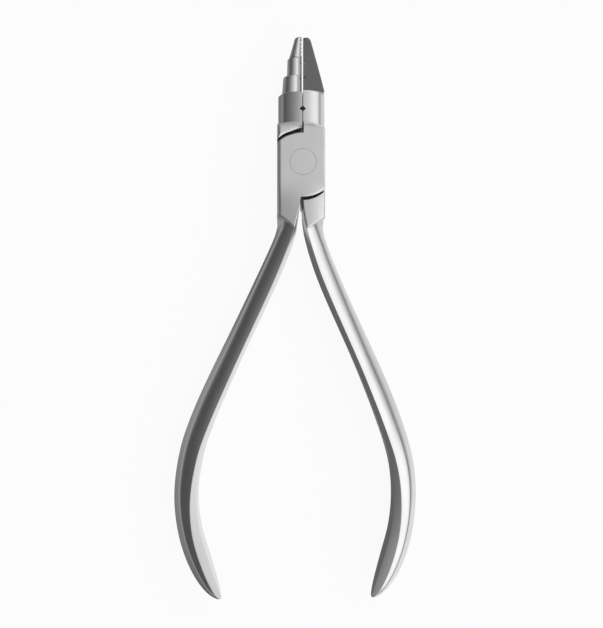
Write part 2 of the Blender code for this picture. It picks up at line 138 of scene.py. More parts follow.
def combined(
    tree: bpy.types.NodeTree, way: Pairing, one: bpy.types.NodeSocket, other: bpy.types.NodeSocket
) -> bpy.types.NodeSocket:
    """Works out one value from two.

    Args:
        tree: the nodes that the new one joins.
        way: how it is worked out.
        one: the socket that gives the first value.
        other: the socket that gives the second value.

    Returns:
        The socket with the result.
    """
    node = tree.nodes.new("ShaderNodeMath")
    node.operation = way.value
    tree.links.new(one, node.inputs[0])
    tree.links.new(other, node.inputs[1])
    return node.outputs[0]


@dataclass(frozen=True)
class SteelFinish:
    """One surface finish of stainless steel.

    shade is the reflectance, mottle how far it varies, and grain_width, grain_length and grain_height the
    sizes of the fine marks. Only marks that run along the piece have a length. crown scales the hand-ground
    crown near the ends of the joint's face, and 0 leaves it out.
    """

    name: str
    shade: float
    roughness: float
    mottle: float = 0.03
    grain: Grain = Grain.NONE
    grain_width: float = 0.06 * MM
    grain_length: float = 3.0 * MM
    grain_height: float = 0.001 * MM
    crown: float = 0.0

    def material(self) -> bpy.types.Material:
        """Makes the finish's material, or returns it where it has been made.

        Returns:
            The material, which reads Object coordinates.
        """
        made = bpy.data.materials.get(self.name)
        if made is not None:
            return made
        material = bpy.data.materials.new(self.name)
        material.use_nodes = True
        tree = material.node_tree
        shader = tree.nodes["Principled BSDF"]
        shader.inputs["Metallic"].default_value = 1.0
        coordinates = tree.nodes.new("ShaderNodeTexCoord")
        self.colour(tree, shader, coordinates)
        self.gloss(tree, shader, coordinates)
        self.marks(tree, shader, coordinates)
        return material

    def noise(
        self, tree: bpy.types.NodeTree, coordinates: bpy.types.Node, size: Point3, detail: float
    ) -> bpy.types.NodeSocket:
        """Adds a noise whose marks have a size along each axis.

        Args:
            tree: the material's nodes.
            coordinates: the node that gives Object coordinates.
            size: the marks' size along X, Y and Z, in metres.
            detail: the noise's finer octaves.

        Returns:
            The socket with the noise, about 0.5 on average.
        """
        mapping = tree.nodes.new("ShaderNodeMapping")
        mapping.inputs["Scale"].default_value = (1 / size[0], 1 / size[1], 1 / size[2])
        texture = tree.nodes.new("ShaderNodeTexNoise")
        texture.inputs["Scale"].default_value = 1.0
        texture.inputs["Detail"].default_value = detail
        tree.links.new(coordinates.outputs["Object"], mapping.inputs["Vector"])
        tree.links.new(mapping.outputs["Vector"], texture.inputs["Vector"])
        return texture.outputs["Fac"]

    def colour(
        self, tree: bpy.types.NodeTree, shader: bpy.types.Node, coordinates: bpy.types.Node
    ) -> None:
        """Lets the steel's reflectance vary a little over the surface.

        Args:
            tree: the material's nodes.
            shader: the Principled BSDF.
            coordinates: the node that gives Object coordinates.
        """
        ramp = tree.nodes.new("ShaderNodeValToRGB")
        low, high = self.shade * (1 - self.mottle), self.shade * (1 + self.mottle)
        for element, place, shade in zip(ramp.color_ramp.elements, NOISE_SPAN, (low, high)):
            element.position = place
            element.color = (shade, shade, shade * BLUE_SHARE, 1.0)
        cloud = self.noise(tree, coordinates, CLOUD_SIZE, detail=6.0)
        tree.links.new(cloud, ramp.inputs["Fac"])
        tree.links.new(ramp.outputs["Color"], shader.inputs["Base Color"])

    def gloss(
        self, tree: bpy.types.NodeTree, shader: bpy.types.Node, coordinates: bpy.types.Node
    ) -> None:
        """Lets the roughness vary, as handling and polishing leave it.

        Args:
            tree: the material's nodes.
            shader: the Principled BSDF.
            coordinates: the node that gives Object coordinates.
        """
        spread = tree.nodes.new("ShaderNodeMapRange")
        spread.inputs["From Min"].default_value, spread.inputs["From Max"].default_value = NOISE_SPAN
        spread.inputs["To Min"].default_value = self.roughness * (1 - WEAR_SPREAD)
        spread.inputs["To Max"].default_value = self.roughness * (1 + WEAR_SPREAD)
        wear = self.noise(tree, coordinates, WEAR_SIZE, detail=5.0)
        tree.links.new(wear, spread.inputs["Value"])
        tree.links.new(spread.outputs["Result"], shader.inputs["Roughness"])

    def marks(
        self, tree: bpy.types.NodeTree, shader: bpy.types.Node, coordinates: bpy.types.Node
    ) -> None:
        """Adds the finish's fine marks as a bump.

        Args:
            tree: the material's nodes.
            shader: the Principled BSDF.
            coordinates: the node that gives Object coordinates.
        """
        wide, long = self.grain_width, self.grain_length
        if self.grain is Grain.NONE:
            size = (wide, wide, wide)
        elif self.grain is Grain.ALONG:
            size = (wide, long, wide)
        else:
            size = (wide * 2, wide, wide)
        bump = tree.nodes.new("ShaderNodeBump")
        bump.inputs["Strength"].default_value = 1.0
        bump.inputs["Distance"].default_value = self.grain_height
        tree.links.new(self.noise(tree, coordinates, size, detail=3.0), bump.inputs["Height"])
        if self.crown:
            tree.links.new(self.ground_fall(tree, coordinates), bump.inputs["Normal"])
        tree.links.new(bump.outputs["Normal"], shader.inputs["Normal"])

    def ground_fall(self, tree: bpy.types.NodeTree, coordinates: bpy.types.Node) -> bpy.types.NodeSocket:
        """Lets the joint's face fall away softly near both ends, as grinding by hand leaves it.

        Args:
            tree: the material's nodes.
            coordinates: the node that gives Object coordinates.

        Returns:
            The socket with the tilted normal.
        """
        parts = tree.nodes.new("ShaderNodeSeparateXYZ")
        tree.links.new(coordinates.outputs["Object"], parts.inputs[0])
        across = scaled(tree, parts.outputs["X"], -CROWN_SIDE, CROWN_SIDE, Ease.EVEN)
        profile = tree.nodes.new("ShaderNodeFloatCurve")
        curve = profile.mapping.curves[0]
        for place, height in CROWN[1:-1]:
            curve.points.new(place, height)
        for point, (place, height) in zip(curve.points, CROWN):
            point.location = (place, height)
        profile.mapping.update()
        tree.links.new(across, profile.inputs["Value"])
        down = scaled(tree, parts.outputs["Y"], *FALL_DOWN, Ease.SOFT)
        up = scaled(tree, parts.outputs["Y"], *FALL_UP, Ease.SOFT)
        ends = combined(tree, Pairing.LARGER, down, up)
        height = combined(tree, Pairing.PRODUCT, profile.outputs["Value"], ends)
        bump = tree.nodes.new("ShaderNodeBump")
        bump.inputs["Strength"].default_value = 1.0
        bump.inputs["Distance"].default_value = self.crown * MM
        tree.links.new(height, bump.inputs["Height"])
        return bump.outputs["Normal"]


# how deep the finest marks are
FINE = 0.0005 * MM

JOINT_STEEL = SteelFinish(
    "ground_joint_steel", shade=0.76, roughness=0.45, mottle=0.02, grain_width=0.09 * MM, crown=1.2
)
PIVOT_STEEL = replace(JOINT_STEEL, name="ground_pivot_steel")
BASE_STEEL = SteelFinish(
    "polished_base_steel", shade=0.645, roughness=0.33, mottle=0.02, grain=Grain.ALONG,
    grain_width=0.12 * MM, grain_length=2 * MM, grain_height=FINE,
)
STEP_STEEL = SteelFinish(
    "turned_step_steel", shade=0.64, roughness=0.33, mottle=0.02, grain=Grain.CROSSED,
    grain_width=0.08 * MM, grain_height=FINE,
)
WEDGE_STEEL = SteelFinish(
    "brushed_wedge_steel", shade=0.56, roughness=0.3, mottle=0.05, grain=Grain.ALONG,
    grain_width=0.1 * MM, grain_length=5 * MM,
)
HANDLE_STEEL = SteelFinish(
    "satin_handle_steel", shade=0.66, roughness=0.22, mottle=0.03, grain=Grain.ALONG,
    grain_width=0.15 * MM, grain_length=2 * MM, grain_height=FINE,
)
# the walls of cuts, slots, holes and the tongue: milled steel painted darker (shade 0.4), painted shade for
# the shade that falls in these recesses
CUT_STEEL_PAINTED_SHADE = SteelFinish(
    "milled_wall_steel_painted_shade", shade=0.4, roughness=0.38, mottle=0.05, grain_width=0.08 * MM,
    grain_height=0.002 * MM,
)


@dataclass(frozen=True)
class SmoothLine:
    """A smooth curve through (place, value) nodes."""

    nodes: Nodes

    def slope(self, index: int) -> float:
        """Works out the curve's slope at one node, from the nodes beside it.

        Args:
            index: the node's place in the list.

        Returns:
            The slope.
        """
        low, high = max(index - 1, 0), min(index + 1, len(self.nodes) - 1)
        run = self.nodes[high][0] - self.nodes[low][0]
        return (self.nodes[high][1] - self.nodes[low][1]) / run

    def at(self, place: float) -> float:
        """Reads the curve.

        Args:
            place: where along the curve.

        Returns:
            The value there.
        """
        index = 0
        while index < len(self.nodes) - 2 and place > self.nodes[index + 1][0]:
            index += 1
        (start, first), (end, second) = self.nodes[index], self.nodes[index + 1]
        span = end - start
        t = (place - start) / span
        return (
            (2 * t**3 - 3 * t**2 + 1) * first
            + (t**3 - 2 * t**2 + t) * span * self.slope(index)
            + (3 * t**2 - 2 * t**3) * second
            + (t**3 - t**2) * span * self.slope(index + 1)
        )


def arc(radius: float, start: float, end: float, sides: int) -> list[Point2]:
    """Points of an arc about the pivot.

    Args:
        radius: its radius.
        start: the first angle, in radians.
        end: the last angle.
        sides: how many sides the arc has.

    Returns:
        The points, in order.
    """
    angles = [start + (end - start) * i / sides for i in range(sides + 1)]
    return [(radius * math.cos(a), radius * math.sin(a)) for a in angles]


def polar_arc(line: SmoothLine, start: float, end: float, sides: int, more: float) -> list[Point2]:
    """Points about the pivot whose radius follows a curve.

    Args:
        line: the radius over the angle from the seam, in degrees.
        start: the first angle from +X, in degrees.
        end: the last angle.
        sides: how many sides the outline has.
        more: what is added to every radius.

    Returns:
        The points, in order.
    """
    points = []
    for i in range(sides + 1):
        angle = start + (end - start) * i / sides
        radius = line.at(abs(90 - abs(angle))) + more
        points.append((radius * math.cos(math.radians(angle)), radius * math.sin(math.radians(angle))))
    return points


def rounded(before: Point2, at: Point2, after: Point2, cut: float, steps: int = 8) -> list[Point2]:
    """Points that round a corner of an outline.

    Args:
        before: the outline's point before the corner.
        at: the corner.
        after: the outline's point after it.
        cut: how far back along both sides the rounding starts.
        steps: how many sides the rounding has.

    Returns:
        The rounding's points, in order.
    """
    corner = Vector(at)
    start = corner + (Vector(before) - corner).normalized() * cut
    end = corner + (Vector(after) - corner).normalized() * cut
    points = []
    for i in range(steps + 1):
        t = i / steps
        points.append(tuple(start * (1 - t) ** 2 + corner * 2 * t * (1 - t) + end * t**2))
    return points


def half_rounded(before: Point2, at: Point2, cut: float) -> list[Point2]:
    """The first half of the rounding of a corner on the middle line, which the other half mirrors.

    Args:
        before: the outline's point before the corner.
        at: the corner.
        cut: how far back along both sides the rounding starts.

    Returns:
        The rounding's points up to the middle line.
    """
    steps = 8
    return rounded(before, at, (before[0], -before[1]), cut, steps)[:steps // 2 + 1]


def choose(item: bpy.types.Object) -> None:
    """Makes one object the only selected one and the active one.

    Args:
        item: the object.
    """
    bpy.ops.object.select_all(action="DESELECT")
    item.select_set(True)
    bpy.context.view_layer.objects.active = item


def paint(item: bpy.types.Object, finish: SteelFinish) -> None:
    """Gives a whole object one finish."""
    item.data.materials.clear()
    item.data.materials.append(finish.material())


def loft(name: str, sections: list[list[Point3]], finish: SteelFinish) -> bpy.types.Object:
    """Bridges outlines into one closed solid.

    Args:
        name: the object's name.
        sections: the outlines, in order. Neighbours may differ by a point.
        finish: the finish of its faces.

    Returns:
        The solid, with its origin at the world's.
    """
    rings = []
    for section in sections:
        bpy.ops.mesh.primitive_circle_add(vertices=len(section), radius=MM, location=(0, 0, 0))
        ring = bpy.context.object
        for vertex, point in zip(ring.data.vertices, section):
            vertex.co = point
        rings.append(ring)
    choose(rings[0])
    for ring in rings:
        ring.select_set(True)
    bpy.ops.object.join()
    item = bpy.context.object
    bpy.ops.object.mode_set(mode="EDIT")
    bpy.ops.mesh.select_mode(type="EDGE")
    bpy.ops.mesh.select_all(action="SELECT")
    bpy.ops.mesh.bridge_edge_loops()
    bpy.ops.mesh.select_all(action="SELECT")
    bpy.ops.mesh.fill_holes(sides=0)
    bpy.ops.mesh.select_all(action="SELECT")
    bpy.ops.mesh.normals_make_consistent(inside=False)
    bpy.ops.object.mode_set(mode="OBJECT")
    item.name = name
    paint(item, finish)
    return item


def act(target: bpy.types.Object, tool: bpy.types.Object, operation: Operation) -> None:
    """Applies a Boolean to the target and removes the tool.

    Args:
        target: the solid that changes.
        tool: the solid that acts on it.
        operation: what it does.
    """
    choose(target)
    modifier = target.modifiers.new(operation.name, "BOOLEAN")
    modifier.operation = operation.value
    modifier.object = tool
    modifier.solver = "EXACT"
    modifier.material_mode = "TRANSFER"
    bpy.ops.object.modifier_apply(modifier=modifier.name)
    bpy.data.objects.remove(tool, do_unlink=True)


def finish_surface(item: bpy.types.Object) -> None:
    """Welds stray points, and shades curves smooth while flats stay flat.

    Args:
        item: the finished piece.
    """
    choose(item)
    bpy.ops.object.mode_set(mode="EDIT")
    bpy.ops.mesh.select_all(action="SELECT")
    bpy.ops.mesh.remove_doubles(threshold=WELD)
    bpy.ops.mesh.dissolve_degenerate(threshold=WELD)
    bpy.ops.object.mode_set(mode="OBJECT")
    bpy.ops.object.shade_smooth_by_angle(angle=SMOOTH_ANGLE)
    modifier = item.modifiers.new("flats", "WEIGHTED_NORMAL")
    modifier.keep_sharp = True
    bpy.ops.object.modifier_apply(modifier=modifier.name)


@dataclass
class JointSizes:
    """Sizes that both halves and the pivot share.

    A lip slopes by lip_start where it leaves the face and by lip_end at its edge, and lip_run and lip_over
    carry it on past the face. The radii of the leaves and the shoulders go by the angle from the seam, in
    degrees.
    """

    thickness: float = 10.4 * MM
    lap_gap: float = 0.2 * MM
    wedge_side: float = 5.12 * MM
    step_side: float = 6.08 * MM
    left_rounding: float = 1.0 * MM
    right_rounding: float = 0.4 * MM
    top: float = 9.55 * MM
    top_fall_place: float = 6.0 * MM
    setback: float = 0.03 * MM
    leaf_bottom_radius: float = 8.1 * MM
    edge_rounding: float = 0.3 * MM
    lip: float = 0.6 * MM
    lip_start: float = 0.1
    lip_end: float = 0.72
    lip_run: float = 1.2
    lip_over: float = 1.6
    lip_steps: int = 7
    rounding_steps: int = 6
    reach: float = 12.0 * MM
    foot_reach: float = 20.0 * MM
    leaf_top: SmoothLine = SmoothLine((
        (0.0, 6.98 * MM), (23.0, 7.07 * MM), (46.0, 7.48 * MM), (95.0, 7.5 * MM),
    ))
    shoulder_top: SmoothLine = SmoothLine((
        (0.0, 8.05 * MM), (21.0, 7.72 * MM), (43.0, 8.0 * MM), (90.0, 8.0 * MM),
    ))
    shoulder_bottom: SmoothLine = SmoothLine((
        (0.0, 8.8 * MM), (11.0, 8.75 * MM), (23.0, 8.58 * MM), (35.0, 8.4 * MM), (90.0, 8.4 * MM),
    ))

    @property
    def middle(self) -> float:
        """The height of the plane between the two leaves."""
        return self.thickness / 2

    def rounding_levels(self, size: float) -> list[Point2]:
        """Heights of a wall whose edges at the joint's faces are rounded.

        Args:
            size: the rounding's radius.

        Returns:
            (height, how far the wall has drawn back) pairs, upwards, running past both faces.
        """
        upper = []
        for i in range(self.rounding_steps + 1):
            angle = math.pi / 2 * i / self.rounding_steps
            upper.append((self.thickness - size * (1 - math.sin(angle)), size * (1 - math.cos(angle))))
        upper.append((self.thickness + size, size))
        lower = [(self.thickness - height, inset) for height, inset in reversed(upper)]
        return lower + upper

    def lip_levels(self, both: bool) -> list[Point2]:
        """Heights of a wall whose edges at the joint's faces roll over in a wide soft lip.

        Args:
            both: whether the lower edge has the lip too.

        Returns:
            (height, how far the wall has drawn back) pairs, upwards, running past both faces.
        """
        upper = []
        for i in range(self.lip_steps + 1):
            run = 1 - self.lip_run * i / self.lip_steps
            fall = self.lip * run * (self.lip_start + (self.lip_end - self.lip_start) / 2 * max(run, 0.0))
            upper.append((self.thickness - fall, self.lip * (1 - run)))
        upper.append((self.thickness + self.lip, self.lip * self.lip_over))
        if not both:
            return upper
        lower = [(self.thickness - height, inset) for height, inset in reversed(upper)]
        return lower + upper

    def paint_lips(self, tool: bpy.types.Object) -> None:
        """Gives a cutter's lips the finish of the joint's faces.

        Args:
            tool: the cutter, painted all over with the walls' darker finish, which is painted shade.
        """
        tool.data.materials.append(JOINT_STEEL.material())
        deepest = self.lip * (self.lip_start + self.lip_end) / 2
        for face in tool.data.polygons:
            if abs(face.center.z - self.middle) > self.middle - deepest:
                face.material_index = len(tool.data.materials) - 1


@dataclass
class HandleForm:
    """A leaf-shaped handle. Places run down from the pivot.

    edge is the line of the inner face's front edge, and relief is how far that edge stands back from the
    middle of the inner face. The outer faces run from the edges at a slope to the knee, and the flank from
    the knee to the ridge. bow is the outer faces' rise as a share of their width. The inner face leans by
    front_height and back_height, and lean_limit is the largest share of half the depth that a lean may take.
    hollow bows the lean, and edge_room keeps its points away from the edge's rounding, in sizes of it. Points
    that this leaves out are made up for, each by fill_share of the way that is left. crowding closes the
    sections up at the tip.
    """

    edge: SmoothLine
    joint: JointSizes
    end: float = 103.8 * MM
    root: float = 9.6 * MM
    tip_length: float = 12.5 * MM
    tip_bias: float = 0.08
    front_height: float = 4.2 * MM
    back_height: float = 1.2 * MM
    edge_break: float = 0.16 * MM
    slope: SmoothLine = SmoothLine(((8.5 * MM, math.radians(27)), (103.8 * MM, math.radians(27))))
    knee: SmoothLine = SmoothLine((
        (8.5 * MM, 1.0 * MM), (60.0 * MM, 1.05 * MM), (75.0 * MM, 0.8 * MM), (85.0 * MM, 0.45 * MM),
        (103.8 * MM, 0.4 * MM),
    ))
    root_relief: Nodes = (
        (8.5 * MM, 0.06 * MM), (12.2 * MM, 0.34 * MM), (14.2 * MM, 0.5 * MM), (16.1 * MM, 0.58 * MM),
        (20.0 * MM, 0.76 * MM),
    )
    ridge: float = 0.7 * MM
    lean_limit: float = 0.85
    hollow: float = 0.2
    edge_room: float = 1.5
    fill_share: float = 0.1
    heading_step: float = 0.2 * MM
    tip_gap: float = 0.02 * MM
    crowding: tuple[float, float] = (0.8, 0.9)
    stations: int = 150
    inner_points: int = 12
    bow_points: int = 7
    width: SmoothLine = field(init=False)
    depth: SmoothLine = field(init=False)
    relief: SmoothLine = field(init=False)
    flank: SmoothLine = field(init=False)
    bow: SmoothLine = field(init=False)

    def __post_init__(self) -> None:
        """Sets the curves that both handles share."""
        self.width = SmoothLine((
            (8.5 * MM, 4.9 * MM), (13.0 * MM, 5.0 * MM), (14.6 * MM, 4.8 * MM), (16.3 * MM, 4.1 * MM),
            (18.5 * MM, 3.98 * MM), (27.5 * MM, 4.4 * MM), (43.0 * MM, 4.65 * MM), (58.0 * MM, 5.02 * MM),
            (72.5 * MM, 4.75 * MM), (87.5 * MM, 4.2 * MM), (self.end, 3.9 * MM),
        ))
        self.flank = SmoothLine((
            (8.5 * MM, 3.0 * MM), (13.0 * MM, 2.7 * MM), (14.5 * MM, 2.0 * MM), (16.0 * MM, 1.4 * MM),
            (18.0 * MM, 0.95 * MM), (20.0 * MM, 0.86 * MM), (29.0 * MM, 0.9 * MM), (38.0 * MM, 1.12 * MM),
            (48.0 * MM, 1.45 * MM), (60.0 * MM, 1.55 * MM), (75.0 * MM, 1.75 * MM), (86.0 * MM, 2.15 * MM),
            (95.0 * MM, 2.4 * MM), (self.end, 2.6 * MM),
        ))
        self.bow = SmoothLine((
            (8.5 * MM, 0.02), (18.5 * MM, 0.035), (28.0 * MM, 0.055), (58.0 * MM, 0.055), (74.0 * MM, 0.025),
            (self.end, 0.02),
        ))
        self.depth = SmoothLine((
            (8.5 * MM, 8.2 * MM), (27.5 * MM, 8.6 * MM), (50.0 * MM, 9.1 * MM), (75.0 * MM, 10.4 * MM),
            (self.end, 10.4 * MM),
        ))
        self.relief = SmoothLine(self.root_relief + (
            (45.0 * MM, 0.68 * MM), (70.0 * MM, 0.85 * MM), (90.0 * MM, 1.25 * MM), (self.end, 1.3 * MM),
        ))

    def half_section(self, place: float, width: float, lean: float) -> list[Point2]:
        """Half the section, from the middle of the inner face to the outer ridge.

        Args:
            place: its distance down from the pivot.
            width: from the front edge of the inner face to the ridge.
            lean: how high the inner face's lean towards its edge is.

        Returns:
            (distance out, height) points.
        """
        half = min(self.depth.at(place), self.joint.thickness) / 2
        relief, run = self.relief.at(place), width - self.flank.at(place)
        lean = min(lean, half * self.lean_limit)
        knee = (relief + run, half - run * math.tan(self.slope.at(place)))
        ridge = (relief + width, 0.0)
        edge = (relief, half)
        points = [(0.0, 0.0), (0.0, (half - lean) / 2)]
        for i in range(self.inner_points + 1):
            t = i / self.inner_points
            point = (relief * ((1 - self.hollow) * t + self.hollow * t**2), half - lean * (1 - t))
            if math.dist(point, edge) > self.edge_break * self.edge_room:
                points.append(point)
        while len(points) < self.inner_points:
            points.append(tuple(Vector(points[-1]).lerp(Vector(edge), self.fill_share)))
        points += rounded(points[-1], edge, knee, self.edge_break, steps=4)
        start, turn = points[-1], self.knee.at(place)
        far = 1 - turn / math.dist(start, knee)
        for i in range(1, self.bow_points + 1):
            t = far * i / self.bow_points
            rise = run * self.bow.at(place) * 4 * t * (1 - t)
            points.append((start[0] + (knee[0] - start[0]) * t, start[1] + (knee[1] - start[1]) * t + rise))
        points += rounded(points.pop(), knee, ridge, turn)
        points += half_rounded(knee, ridge, self.ridge)
        return points

    def ring(self, place: float) -> list[Point3]:
        """One section, square to the inner edge.

        Args:
            place: its distance down from the pivot.

        Returns:
            The section's points in the half's own frame.
        """
        to_end = self.end - place
        taper = math.sqrt(max(0.0, 1 - (1 - min(1.0, to_end / self.tip_length)) ** 2))
        above, below = place - self.heading_step, min(place + self.heading_step, self.end)
        heading = math.atan2(self.edge.at(below) - self.edge.at(above), below - above)
        outward = Vector((math.cos(heading), math.sin(heading), 0.0))
        width = self.width.at(place)
        start = Vector((self.edge.at(place), -place, self.joint.middle)) - outward * self.relief.at(place)
        bias = (1 - taper) * width * self.tip_bias
        front = self.half_section(place, width, self.front_height)
        back = self.half_section(place, width, self.back_height)
        full = front + [(out, -height) for out, height in reversed(back[1:-1])]
        points = []
        for out, up in full:
            points.append(tuple(start + outward * (out * taper + bias) + Vector((0, 0, up * taper))))
        return points

    def build(self) -> bpy.types.Object:
        """Lofts the handle, with its sections closer together towards the tip.

        Returns:
            The handle, a solid of its own.
        """
        length = self.end - self.root - self.tip_gap
        inner, outer = self.crowding
        places = []
        for i in range(self.stations):
            t = i / (self.stations - 1)
            places.append(self.root + length * math.sin(math.pi / 2 * t**inner) ** outer)
        return loft("handle", [self.ring(place) for place in places], HANDLE_STEEL)


@dataclass
class BlockForm:
    """One half's share of the joint block.

    top_lip is how far the top edge draws back for each inset, and side_lip the same for the walls along the
    seam. In the crotch, crotch_lip comes on top of it, from crotch_start on and in full crotch_growth lower.
    Below crotch_top, the walls have a finish of their own: the darker cut steel, painted shade, on the step
    half, and the handle's steel on the wedge half.
    """

    joint: JointSizes
    left: float
    right: float
    face: float
    top_fall: float
    foot: SmoothLine
    edge: SmoothLine
    top_lip: float
    left_rounding: float
    right_rounding: float
    wall_finish: SteelFinish
    side_lip: float = 0.35
    crotch_lip: float = 0.2
    crotch_start: float = 10.0 * MM
    crotch_growth: float = 3.0 * MM
    crotch_top: float = 9.3 * MM

    def bar(self) -> bpy.types.Object:
        """Shapes the block's bar, with its long edges rounded.

        Returns:
            The bar.
        """
        joint = self.joint
        width, length = self.left + self.right, joint.reach + joint.foot_reach
        place = ((self.right - self.left) / 2, (joint.reach - joint.foot_reach) / 2, joint.middle)
        bpy.ops.mesh.primitive_cube_add(size=1.0, location=(0, 0, 0))
        item = bpy.context.object
        choose(item)
        bpy.ops.object.mode_set(mode="EDIT")
        bpy.ops.mesh.select_all(action="SELECT")
        bpy.ops.transform.resize(value=(width, length, joint.thickness), center_override=(0, 0, 0))
        bpy.ops.transform.translate(value=place)
        bpy.ops.mesh.select_mode(type="EDGE")
        for x, size in ((-self.left, self.left_rounding), (self.right, self.right_rounding)):
            bpy.ops.mesh.select_all(action="DESELECT")
            mesh = bmesh.from_edit_mesh(item.data)
            for edge in mesh.edges:
                one, other = edge.verts
                edge.select_set(abs(one.co.y - other.co.y) > length / 2 and abs(one.co.x - x) < NEAR)
            bmesh.update_edit_mesh(item.data)
            bpy.ops.mesh.bevel(offset=size, segments=10, profile=0.5)
        bpy.ops.object.mode_set(mode="OBJECT")
        paint(item, JOINT_STEEL)
        return item

    def plan(self, inset: float) -> list[Point2]:
        """The outline of the flat faces: a bowed top edge, and a slanted foot above the handle.

        Args:
            inset: how far the outline is drawn in.

        Returns:
            The outline's points.
        """
        joint, steps = self.joint, 48
        points = []
        for i in range(steps + 1):
            x = joint.reach * (1 - 2 * i / steps)
            side = min(1.0, abs(x) / joint.top_fall_place)
            points.append((x, joint.top - inset * self.top_lip - self.top_fall * side**2))
        start, end = self.foot.nodes[0][0], self.foot.nodes[-1][0]
        points.append((-joint.reach, inset - self.foot.nodes[0][1]))
        for i in range(steps + 1):
            out = start + (end - start) * i / steps
            points.append((out, inset - self.foot.at(out)))
        points.append((joint.reach, inset - self.foot.nodes[-1][1]))
        return points

    def above(self, inset: float) -> list[Point2]:
        """The outline of what is cut away above this half's leaf.

        Args:
            inset: how far the cut widens.

        Returns:
            The outline's points.
        """
        joint = self.joint
        wall = self.face + joint.setback + inset * self.side_lip
        start = math.degrees(math.asin(wall / (joint.leaf_top.at(0.0) - inset)))
        points = polar_arc(joint.leaf_top, 0.0, 90 + start, sides=96, more=-inset)
        return points + [(-wall, joint.reach), (joint.reach, joint.reach), (joint.reach, 0.0)]

    def below(self, inset: float) -> list[Point2]:
        """The outline of what is cut away below this half's leaf, beside its handle.

        Args:
            inset: how far the cut widens.

        Returns:
            The outline's points.
        """
        joint, steps = self.joint, 32
        first = self.edge.nodes[0][0]
        radius = joint.leaf_bottom_radius
        length = joint.foot_reach - radius
        downs = [radius + length * i / steps for i in range(steps + 1)]
        line = []
        for down in reversed(downs):
            grown = min(1.0, max(0.0, (down - self.crotch_start) / self.crotch_growth))
            wall = self.edge.at(max(down, first)) + inset * (self.side_lip + self.crotch_lip * grown)
            line.append((wall, -down))
        radius -= inset
        start = math.asin(line[-1][0] / radius)
        points = arc(radius, -math.pi / 2 + start, -math.pi, sides=64)
        return points + [(-joint.reach, 0.0), (-joint.reach, line[0][1])] + line[:-1]

    def cutter(
        self, name: str, outline: Callable[[float], list[Point2]], levels: list[Point2]
    ) -> bpy.types.Object:
        """A solid with an outline that widens at the joint's faces, which rounds the edges it cuts.

        Args:
            name: its name.
            outline: the method that gives the outline for an inset.
            levels: (height, inset) pairs.

        Returns:
            The solid.
        """
        sections = [[(x, y, height) for x, y in outline(inset)] for height, inset in levels]
        # the cutter's walls take the darker steel, painted shade
        return loft(name, sections, CUT_STEEL_PAINTED_SHADE)

    def build(self) -> bpy.types.Object:
        """Makes the block and cuts it back to this half's share.

        Returns:
            The block with this half's leaf.
        """
        item = self.bar()
        soft = self.joint.lip_levels(both=True)
        plan = self.cutter("plan", self.plan, soft)
        paint(plan, JOINT_STEEL)
        act(item, plan, Operation.COMMON)
        crisp = self.joint.rounding_levels(self.joint.edge_rounding)
        act(item, self.cutter("above", self.above, crisp), Operation.CUT)
        below = self.cutter("below", self.below, soft)
        self.joint.paint_lips(below)
        below.data.materials.append(self.wall_finish.material())
        for face in below.data.polygons:
            if face.material_index == 0 and face.center.y < -self.crotch_top:
                face.material_index = len(below.data.materials) - 1
        act(item, below, Operation.CUT)
        return item


@dataclass
class BaseForm:
    """The crowned foot of a beak, up to its rounded shoulder.

    The working face lies beside the seam by face. The crown's middle lies at centre, and half_width and knee,
    where the crown ends and the drafted flank starts, are measured from it.
    """

    joint: JointSizes
    face: float
    centre: float
    end: float = 17.1 * MM
    half_width: float = 5.7 * MM
    half_depth: float = 4.5 * MM
    crown_width: float = 6.4 * MM
    knee: float = 4.5 * MM
    ridge_rounding: float = 0.5 * MM
    root: float = 5.5 * MM
    end_rounding: float = 0.5 * MM

    def section(self, inset: float) -> list[Point2]:
        """One section of the base.

        Args:
            inset: how far it is drawn in.

        Returns:
            The section's (x, z) points.
        """
        scale, steps = 1 - inset / self.half_depth, 28
        first = self.face + self.centre
        half = []
        for i in range(steps + 1):
            across = first + (self.knee - first) * i / steps
            half.append((across, self.half_depth * math.sqrt(1 - (across / self.crown_width) ** 2)))
        ridge = (self.half_width, 0.0)
        knee = half.pop()
        while half[-1][0] > knee[0] - self.ridge_rounding:
            half.pop()
        half += rounded(half[-1], knee, ridge, self.ridge_rounding)
        half += half_rounded(knee, ridge, self.ridge_rounding * 2)
        full = half + [(across, -height) for across, height in reversed(half[:-1])]
        drawn = []
        for across, height in full:
            drawn.append((-self.face - (across - first) * scale, self.joint.middle + height * scale))
        return drawn

    def build(self) -> bpy.types.Object:
        """Lofts the base along the beak.

        Returns:
            The base, a solid of its own.
        """
        steps = 8
        levels = [(self.root, 0.0)]
        for i in range(steps + 1):
            angle = math.pi / 2 * i / steps
            drawn = self.end_rounding * (1 - math.cos(angle))
            levels.append((self.end - self.end_rounding * (1 - math.sin(angle)), drawn))
        sections = [[(x, y, z) for x, z in self.section(inset)] for y, inset in levels]
        return loft("base", sections, BASE_STEEL)


